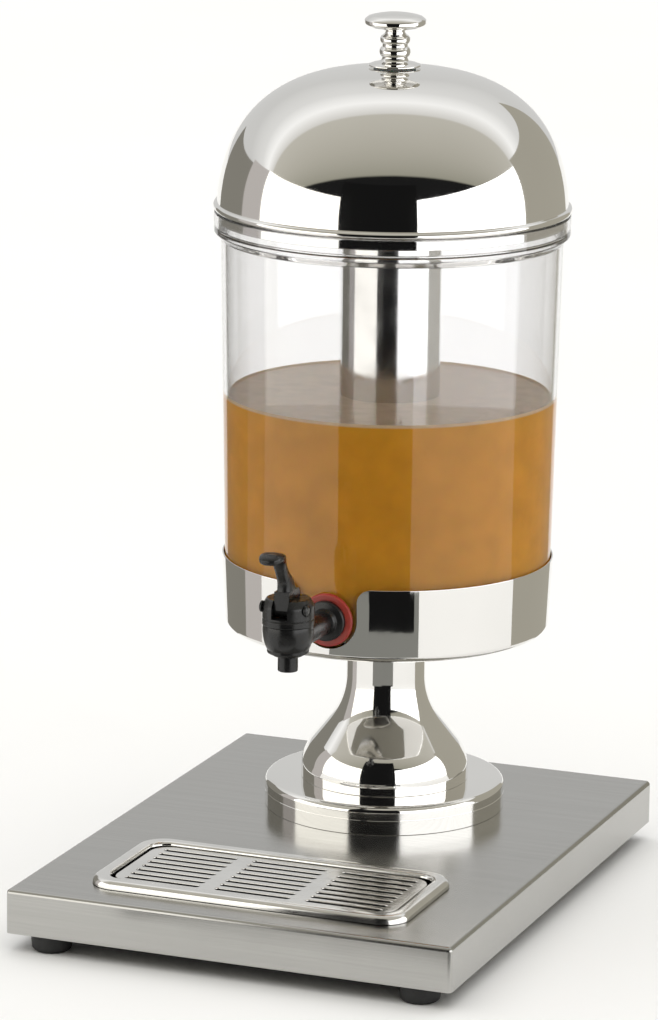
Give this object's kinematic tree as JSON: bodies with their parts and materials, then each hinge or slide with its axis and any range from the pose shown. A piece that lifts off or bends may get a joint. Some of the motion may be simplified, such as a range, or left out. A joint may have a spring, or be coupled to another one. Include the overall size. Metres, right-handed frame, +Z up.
{
  "type": "beverage dispenser",
  "caption": "Countertop beverage dispenser: clear cylindrical container with a lever tap and domed metal lid, held in a cradle on a column over a flat base with a drip tray.",
  "frame": {"origin": "centre of the base, on the surface that the feet stand on", "axes": "+Z up, the tap and the drip tray towards -Y, +X to the right when facing the tap"},
  "size_m": [0.26, 0.345, 0.4962],
  "materials": {
    "satin_stainless": "bright rolled stainless steel sheet with a fine satin",
    "polished_stainless": "mirror-polished stainless steel",
    "plain_steel": "plain machined stainless steel",
    "clear_plastic": "clear glossy polycarbonate",
    "black_plastic": "black moulded plastic, semi-gloss",
    "black_rubber": "matt black rubber",
    "red_silicone": "translucent red silicone",
    "white_silicone": "translucent white silicone"
  },
  "bodies": {
    "base": {"base_plate": "satin_stainless", "base_stiffener": "plain_steel", "foot_front_left": "black_rubber", "foot_front_right": "black_rubber", "foot_rear_left": "black_rubber", "foot_rear_right": "black_rubber", "foot_screws": "plain_steel", "foot_nuts": "plain_steel", "column_ring": "polished_stainless", "column": "polished_stainless", "cradle": "polished_stainless", "cradle_pad": "white_silicone", "tie_rod": "plain_steel", "tie_rod_washer": "plain_steel", "tie_rod_nut": "plain_steel"},
    "container": {"container": "clear_plastic", "tap_body": "black_plastic", "tap_outer_washer": "red_silicone", "tap_inner_washer": "black_rubber", "tap_backnut": "black_plastic", "tap_bonnet": "black_plastic", "tap_lever_pin": "plain_steel", "tap_spring": "plain_steel"},
    "tap_lever": {"tap_lever": "black_plastic"},
    "tap_stem": {"tap_stem": "plain_steel", "tap_stem_pin": "plain_steel", "tap_seat_cup": "white_silicone"},
    "lid": {"lid_dome": "polished_stainless", "lid_knob": "polished_stainless", "lid_knob_washer": "white_silicone", "lid_knob_screw": "plain_steel", "ice_tube_socket": "black_plastic"},
    "ice_tube": {"ice_tube": "polished_stainless"},
    "drip_pan": {"drip_pan": "satin_stainless"},
    "drip_grille": {"drip_grille": "satin_stainless"}
  },
  "joints": [
    {"name": "container_lift", "type": "slide", "parent": "base", "child": "container", "axis": [0, 0, 1], "range_m": [0, 0.05]},
    {"name": "lid_lift", "type": "slide", "parent": "container", "child": "lid", "axis": [0, 0, 1], "range_m": [0, 0.24]},
    {"name": "ice_tube_twist", "type": "hinge", "parent": "lid", "child": "ice_tube", "pos_m": [0, 0.069, 0.4502], "axis": [0, 0, 1], "range_deg": [0, 25]},
    {"name": "tap_lever_press", "type": "hinge", "parent": "container", "child": "tap_lever", "pos_m": [0, -0.09037, 0.188], "axis": [1, 0, 0], "range_deg": [0, 22], "stiffness_Nm_per_rad": 0.3, "springref_deg": -20.05},
    {"name": "tap_stem_lift", "type": "slide", "parent": "container", "child": "tap_stem", "axis": [0, 0, 1], "range_m": [0, 0.0026], "deforming": ["tap_spring"]},
    {"name": "drip_pan_lift", "type": "slide", "parent": "base", "child": "drip_pan", "axis": [0, 0, 1], "range_m": [0, 0.05]},
    {"name": "drip_grille_lift", "type": "slide", "parent": "drip_pan", "child": "drip_grille", "axis": [0, 0, 1], "range_m": [0, 0.03]}
  ],
  "couplings": [
    {"joint": "tap_stem_lift", "follows": "tap_lever_press", "m_per_rad": 0.006}
  ]
}
